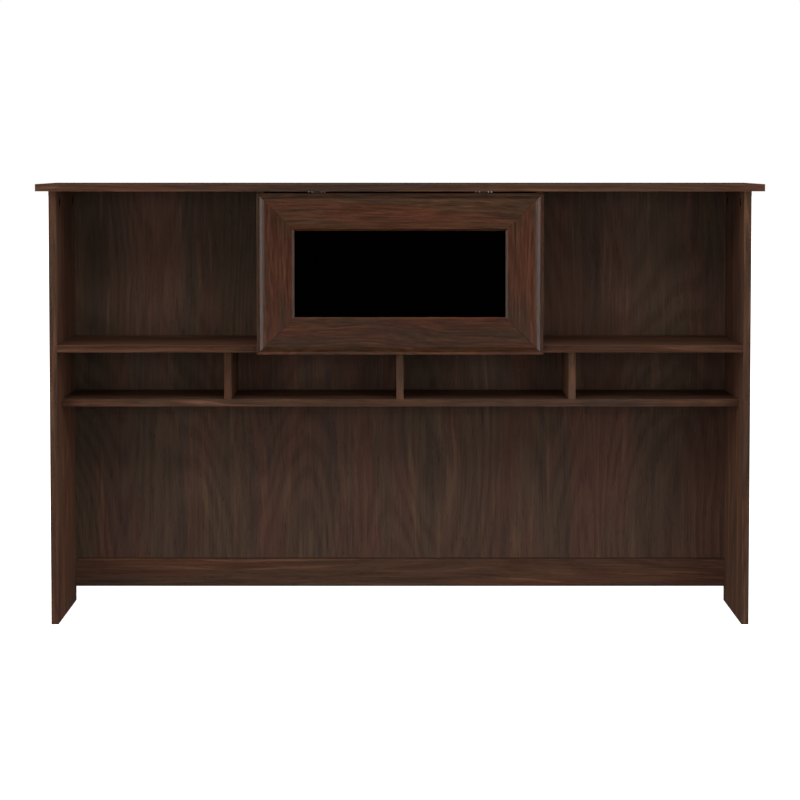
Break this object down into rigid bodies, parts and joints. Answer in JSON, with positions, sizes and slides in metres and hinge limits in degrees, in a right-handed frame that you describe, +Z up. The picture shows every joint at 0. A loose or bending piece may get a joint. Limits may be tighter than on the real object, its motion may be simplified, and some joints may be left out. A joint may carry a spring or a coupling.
{
  "type": "desk hutch",
  "caption": "Wide laminated desk hutch with open shelves, small cubbies, a wire gap under the back and a top-hinged flip-up door with a dark glass panel and a lid stay.",
  "frame": {"origin": "centre of the footprint, on the surface the hutch stands on", "axes": "+X along the width, to the right as seen from the front; +Y to the rear; +Z up; the door faces -Y"},
  "size_m": [1.51, 0.3094, 0.923],
  "materials": {
    "walnut_laminate": "satin printed walnut laminate with fine straight grain",
    "walnut_back": "printed walnut paper on thin hardboard, upright grain, plain brown on the rear",
    "black_glass": "opaque black glass, polished",
    "zinc_plate": "zinc plated, satin",
    "bright_steel": "bright steel",
    "dark_plastic": "soft dark plastic"
  },
  "bodies": {
    "cabinet": {"back_panel": "walnut_back", "bottom_back_rail": "walnut_laminate", "center_divider": "walnut_laminate", "center_divider_front_cam": "zinc_plate", "center_divider_front_cam_bolt": "bright_steel", "center_divider_rear_cam": "zinc_plate", "center_divider_rear_cam_bolt": "bright_steel", "left_divider": "walnut_laminate", "left_divider_front_cam": "zinc_plate", "left_divider_front_cam_bolt": "bright_steel", "left_divider_rear_cam": "zinc_plate", "left_divider_rear_cam_bolt": "bright_steel", "left_hinge_arm": "zinc_plate", "left_hinge_plate": "zinc_plate", "left_hinge_plate_left_screw": "bright_steel", "left_hinge_plate_right_screw": "bright_steel", "left_partition": "walnut_laminate", "left_side_front_cam": "zinc_plate", "left_side_front_cam_bolt": "bright_steel", "left_side_panel": "walnut_laminate", "left_side_rear_cam": "zinc_plate", "left_side_rear_cam_bolt": "bright_steel", "lower_shelf": "walnut_laminate", "right_divider": "walnut_laminate", "right_divider_front_cam": "zinc_plate", "right_divider_front_cam_bolt": "bright_steel", "right_divider_rear_cam": "zinc_plate", "right_divider_rear_cam_bolt": "bright_steel", "right_hinge_arm": "zinc_plate", "right_hinge_plate": "zinc_plate", "right_hinge_plate_left_screw": "bright_steel", "right_hinge_plate_right_screw": "bright_steel", "right_partition": "walnut_laminate", "right_side_front_cam": "zinc_plate", "right_side_front_cam_bolt": "bright_steel", "right_side_panel": "walnut_laminate", "right_side_rear_cam": "zinc_plate", "right_side_rear_cam_bolt": "bright_steel", "stay_bracket": "zinc_plate", "stay_pivot_pin": "bright_steel", "top_panel": "walnut_laminate", "upper_shelf": "walnut_laminate"},
    "door": {"door_top_rail": "walnut_laminate", "door_bottom_rail": "walnut_laminate", "door_left_stile": "walnut_laminate", "door_right_stile": "walnut_laminate", "door_glass": "black_glass", "glass_retainer": "dark_plastic", "left_door_bumper": "dark_plastic", "right_door_bumper": "dark_plastic", "left_hinge_cup": "zinc_plate", "right_hinge_cup": "zinc_plate", "left_hinge_pin": "bright_steel", "right_hinge_pin": "bright_steel", "stay_door_bracket": "zinc_plate", "stay_door_pin": "bright_steel"},
    "stay_arm": {"stay_arm": "zinc_plate", "stay_elbow_pin": "bright_steel"},
    "stay_link": {"stay_link": "zinc_plate"}
  },
  "joints": [
    {"name": "door_hinge", "type": "hinge", "parent": "cabinet", "child": "door", "pos_m": [0, -0.14315, 0.897], "axis": [-1, 0, 0], "range_deg": [0, 90]},
    {"name": "stay_arm_pivot", "type": "hinge", "parent": "cabinet", "child": "stay_arm", "pos_m": [0.277, -0.06015, 0.872], "axis": [-1, 0, 0], "range_deg": [0, 90]},
    {"name": "stay_link_pivot", "type": "hinge", "parent": "stay_arm", "child": "stay_link", "pos_m": [0.2737, -0.03515, 0.721], "axis": [-1, 0, 0], "range_deg": [-90, 0]}
  ],
  "couplings": [
    {"joint": "stay_arm_pivot", "follows": "door_hinge", "ratio": 1},
    {"joint": "stay_link_pivot", "follows": "door_hinge", "ratio": -1}
  ]
}
